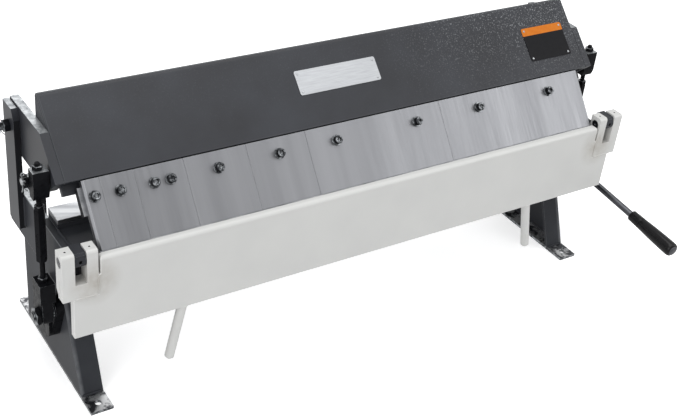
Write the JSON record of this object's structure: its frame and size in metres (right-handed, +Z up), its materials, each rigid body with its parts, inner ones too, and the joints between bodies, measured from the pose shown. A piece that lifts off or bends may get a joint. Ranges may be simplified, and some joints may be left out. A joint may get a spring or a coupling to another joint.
{
  "type": "box and pan brake",
  "caption": "Bench box and pan brake: fingers on a hinged clamp beam, a folding apron with two handles, and an eccentric clamp lever that works through side links.",
  "frame": {"origin": "the middle of the four fixing holes in the foot plates, on the floor", "axes": "+X along the bend line towards the clamp lever, +Y back from the apron, +Z up"},
  "size_m": [1.076, 0.4744, 0.4486],
  "materials": {
    "hammertone_paint": "dark grey hammered enamel",
    "ground_steel": "ground bright steel",
    "finger_steel": "surface-ground tool steel",
    "foot_steel": "bare flat bar",
    "plated_steel": "zinc plated",
    "black_steel": "black oxide and black paint",
    "apron_paint": "pale grey enamel",
    "bare_plate": "bare satin plate",
    "printed_plate": "printed orange and black, no lettering",
    "grip_plastic": "moulded black plastic"
  },
  "bodies": {
    "frame": {"left_end_plate": "hammertone_paint", "right_end_plate": "hammertone_paint", "left_leg": "hammertone_paint", "right_leg": "hammertone_paint", "foot_plates": "foot_steel", "rear_posts": "hammertone_paint", "bed_deck": "hammertone_paint", "bed_front_web": "hammertone_paint", "bed_rear_web": "hammertone_paint", "bed_nose_bar": "ground_steel", "bed_rear_bar": "ground_steel", "left_hinge_block": "hammertone_paint", "right_hinge_block": "hammertone_paint", "hinge_pins": "plated_steel", "hinge_grub_screws": "black_steel", "shaft_hangers": "black_steel", "pivot_bolts": "black_steel", "pivot_nuts": "black_steel", "pivot_split_pins": "plated_steel"},
    "beam": {"clamp_beam": "hammertone_paint", "beam_end_caps": "hammertone_paint", "left_beam_arm": "hammertone_paint", "right_beam_arm": "hammertone_paint", "finger_flange": "hammertone_paint", "finger_rail": "ground_steel", "finger_1_inch": "finger_steel", "finger_2_inch": "finger_steel", "finger_3_inch": "finger_steel", "finger_4_inch_left": "finger_steel", "finger_4_inch_right": "finger_steel", "finger_10_inch": "finger_steel", "finger_12_inch": "finger_steel", "finger_screws": "black_steel", "finger_washers": "black_steel", "nameplate": "bare_plate", "label_plate": "printed_plate", "plate_rivets": "plated_steel", "swivel_pins": "plated_steel", "swivel_nuts": "black_steel", "swivel_split_pins": "plated_steel"},
    "left_link": {"left_swivel_block": "black_steel", "left_upper_rod": "black_steel", "left_eye_rod": "black_steel", "left_link_nuts": "black_steel"},
    "left_sleeve": {"left_turnbuckle": "black_steel"},
    "right_link": {"right_swivel_block": "black_steel", "right_upper_rod": "black_steel", "right_eye_rod": "black_steel", "right_link_nuts": "black_steel"},
    "right_sleeve": {"right_turnbuckle": "black_steel"},
    "clamp_shaft": {"cross_shaft": "black_steel", "eccentric_nuts": "black_steel", "lever_hub": "black_steel", "lever_rod": "plated_steel", "lever_grip": "grip_plastic", "lever_cap": "plated_steel"},
    "apron": {"apron_plate": "apron_paint", "left_hinge_lug": "apron_paint", "right_hinge_lug": "apron_paint", "apron_handles": "apron_paint"}
  },
  "joints": [
    {"name": "clamp_lift", "type": "hinge", "parent": "frame", "child": "beam", "pos_m": [0, 0.08, 0.375], "axis": [-1, 0, 0], "range_deg": [0, 5.8]},
    {"name": "lever_turn", "type": "hinge", "parent": "frame", "child": "clamp_shaft", "pos_m": [0, -0.043, 0.13238], "axis": [-1, 0, 0], "range_deg": [0, 93]},
    {"name": "left_link_swing", "type": "hinge", "parent": "beam", "child": "left_link", "pos_m": [-0.508, -0.033, 0.35], "axis": [-1, 0, 0], "range_deg": [-5.3, 0]},
    {"name": "right_link_swing", "type": "hinge", "parent": "beam", "child": "right_link", "pos_m": [0.508, -0.033, 0.35], "axis": [-1, 0, 0], "range_deg": [-5.3, 0]},
    {"name": "left_turnbuckle_turn", "type": "hinge", "parent": "left_link", "child": "left_sleeve", "pos_m": [-0.508, -0.047, 0.2655], "axis": [0, 0, 1], "continuous": true},
    {"name": "right_turnbuckle_turn", "type": "hinge", "parent": "right_link", "child": "right_sleeve", "pos_m": [0.508, -0.047, 0.2655], "axis": [0, 0, 1], "continuous": true},
    {"name": "apron_fold", "type": "hinge", "parent": "frame", "child": "apron", "pos_m": [0, -0.138, 0.28], "axis": [-1, 0, 0], "range_deg": [0, 120]}
  ],
  "couplings": [
    {"joint": "lever_turn", "follows": "clamp_lift", "ratio": 16},
    {"joint": "left_link_swing", "follows": "clamp_lift", "ratio": -0.893},
    {"joint": "right_link_swing", "follows": "clamp_lift", "ratio": -0.893}
  ]
}
